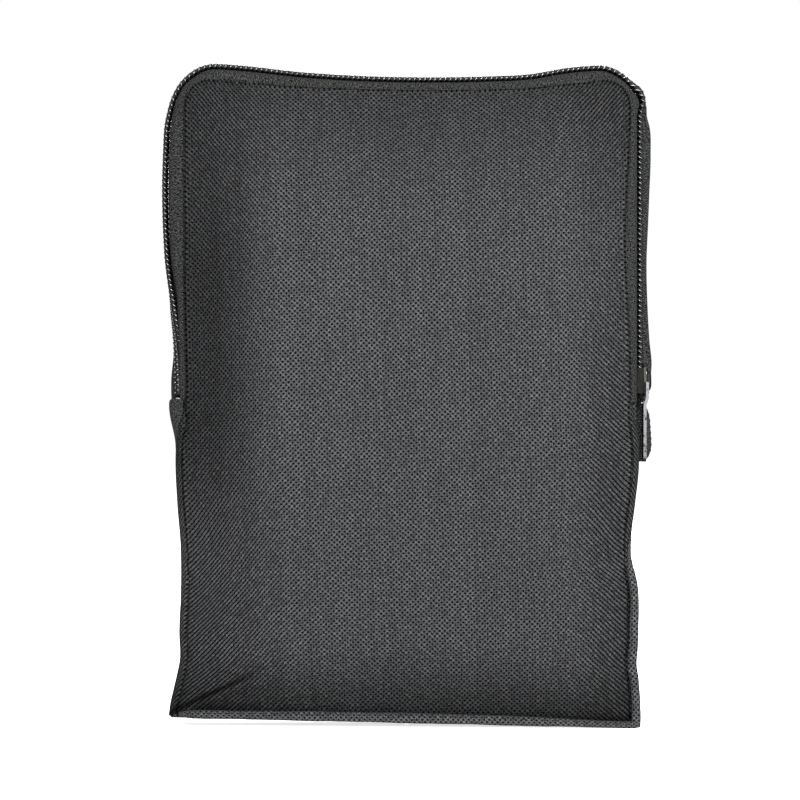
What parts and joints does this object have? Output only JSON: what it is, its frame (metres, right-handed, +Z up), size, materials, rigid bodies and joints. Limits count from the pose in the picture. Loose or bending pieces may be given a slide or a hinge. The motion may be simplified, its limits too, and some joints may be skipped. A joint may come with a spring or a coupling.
{
  "type": "lipo safe bag",
  "caption": "Padded fire-resistant fabric pouch with a zip round the top half, auto-lock slider and pull tab, for storing or charging a lithium polymer battery.",
  "frame": {"origin": "middle of the bottom face that the bag stands on", "axes": "+Z up from the bottom face to the top of the zip, -Y out of the front panel, +X to the right seen from the front, towards the side with the slider"},
  "size_m": [0.1519, 0.026, 0.207],
  "materials": {
    "oxford_cloth": "coarse plain weave, charcoal, slight sheen",
    "padding": "closed-cell foam sheet",
    "glass_cloth": "coated glass-fibre cloth",
    "binding": "ribbed binding tape",
    "thread": "twisted polyester thread",
    "zip_tape": "fine herringbone tape",
    "zip_coil": "glossy black nylon coil",
    "end_tab": "folded cloth, olive tint",
    "slider_metal": "dark lacquer, worn bright along the edges",
    "spring_steel": "plain"
  },
  "bodies": {
    "bag": {"front_panel_lower": "oxford_cloth", "front_padding_lower": "padding", "front_lining_lower": "glass_cloth", "back_panel": "oxford_cloth", "back_padding": "padding", "back_lining": "glass_cloth", "side_gusset_left": "oxford_cloth", "side_gusset_right": "oxford_cloth", "bottom_gusset": "oxford_cloth", "gusset_lining": "glass_cloth", "seam_binding": "binding", "bottom_seam_lip": "oxford_cloth", "right_seam_lip": "oxford_cloth", "seam_stitch_bottom": "thread", "seam_stitch_right": "thread", "zip_tape_front_ends": "zip_tape", "zip_tape_back": "zip_tape", "zip_coil_front_ends": "zip_coil", "zip_coil_back": "zip_coil", "topstitch_front_ends": "thread", "topstitch_back": "thread", "zip_bottom_stop": "slider_metal", "zip_top_stops": "slider_metal", "zip_end_tab_left": "end_tab", "zip_end_tab_right": "end_tab"},
    "front_flap": {"front_panel_flap": "oxford_cloth", "front_padding_flap": "padding", "front_lining_flap": "glass_cloth", "zip_tape_front_flap": "zip_tape", "zip_coil_front_flap": "zip_coil", "topstitch_front_flap": "thread"},
    "slider": {"slider_body": "slider_metal", "slider_cap": "slider_metal"},
    "lock": {"lock_pawl": "spring_steel"},
    "pull": {"pull_tab": "slider_metal"}
  },
  "joints": [
    {"name": "flap_fold", "type": "hinge", "parent": "bag", "child": "front_flap", "pos_m": [0, -0.0132, 0.1161], "axis": [1, 0, 0], "range_deg": [0, 150], "stiffness_Nm_per_rad": 0.12},
    {"name": "slider_travel", "type": "slide", "parent": "bag", "child": "slider", "axis": [0, 0, 1], "range_m": [0, 0.075]},
    {"name": "pull_swing", "type": "hinge", "parent": "slider", "child": "pull", "pos_m": [0.07565, 0, 0.1072], "axis": [0, -1, 0], "range_deg": [0, 165]},
    {"name": "pawl_lift", "type": "hinge", "parent": "slider", "child": "lock", "pos_m": [0.07569, 0, 0.1054], "axis": [0, 1, 0], "range_deg": [0, 5.5]}
  ],
  "couplings": [
    {"joint": "pawl_lift", "follows": "pull_swing", "ratio": 0.0333}
  ]
}
